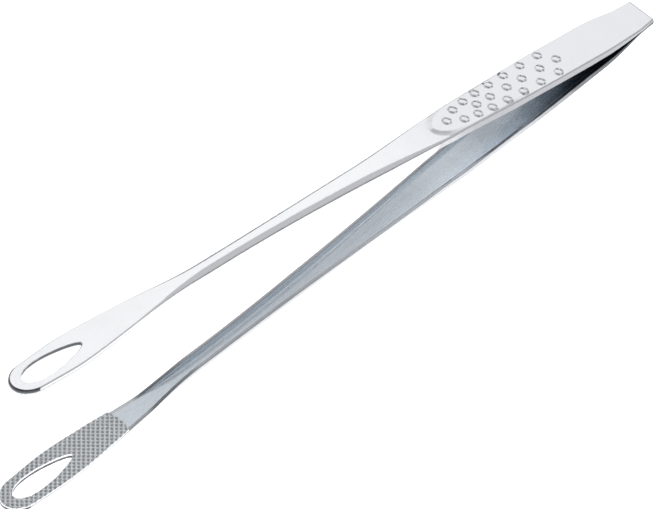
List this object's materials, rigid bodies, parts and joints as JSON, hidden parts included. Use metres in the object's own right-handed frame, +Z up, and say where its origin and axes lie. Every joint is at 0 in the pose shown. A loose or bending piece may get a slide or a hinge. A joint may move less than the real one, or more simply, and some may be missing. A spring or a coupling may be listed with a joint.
{
  "type": "print tongs",
  "caption": "Steel print tongs: two sprung blades joined at the heel, with bumped grips, slim channel necks and slotted spoon tips with knurled jaws.",
  "frame": {"origin": "under the middle of the open tongs, on the surface that the lower blade stands on", "axes": "+X from the heel to the tips, +Y across the blades, +Z up, the way the jaws open"},
  "size_m": [0.2392, 0.0122, 0.0507],
  "materials": {
    "blade_steel": "satin",
    "jaw_steel": "knurled satin",
    "weld_steel": "dull fused"
  },
  "bodies": {
    "heel": {"upper_heel_leaf": "blade_steel", "lower_heel_leaf": "blade_steel", "heel_welds": "weld_steel"},
    "upper_arm": {"upper_blade": "blade_steel", "upper_jaw_plate": "jaw_steel", "upper_jaw_welds": "weld_steel"},
    "lower_arm": {"lower_blade": "blade_steel", "lower_jaw_plate": "jaw_steel", "lower_jaw_welds": "weld_steel"}
  },
  "joints": [
    {"name": "upper_flex", "type": "hinge", "parent": "heel", "child": "upper_arm", "pos_m": [-0.11261, 0, 0.00387], "axis": [0, 1, 0], "range_deg": [0, 5.2], "stiffness_Nm_per_rad": 6},
    {"name": "lower_flex", "type": "hinge", "parent": "heel", "child": "lower_arm", "pos_m": [-0.11247, 0, 0.0025], "axis": [0, -1, 0], "range_deg": [0, 5.2], "stiffness_Nm_per_rad": 6}
  ],
  "couplings": [
    {"joint": "lower_flex", "follows": "upper_flex", "ratio": 1}
  ]
}
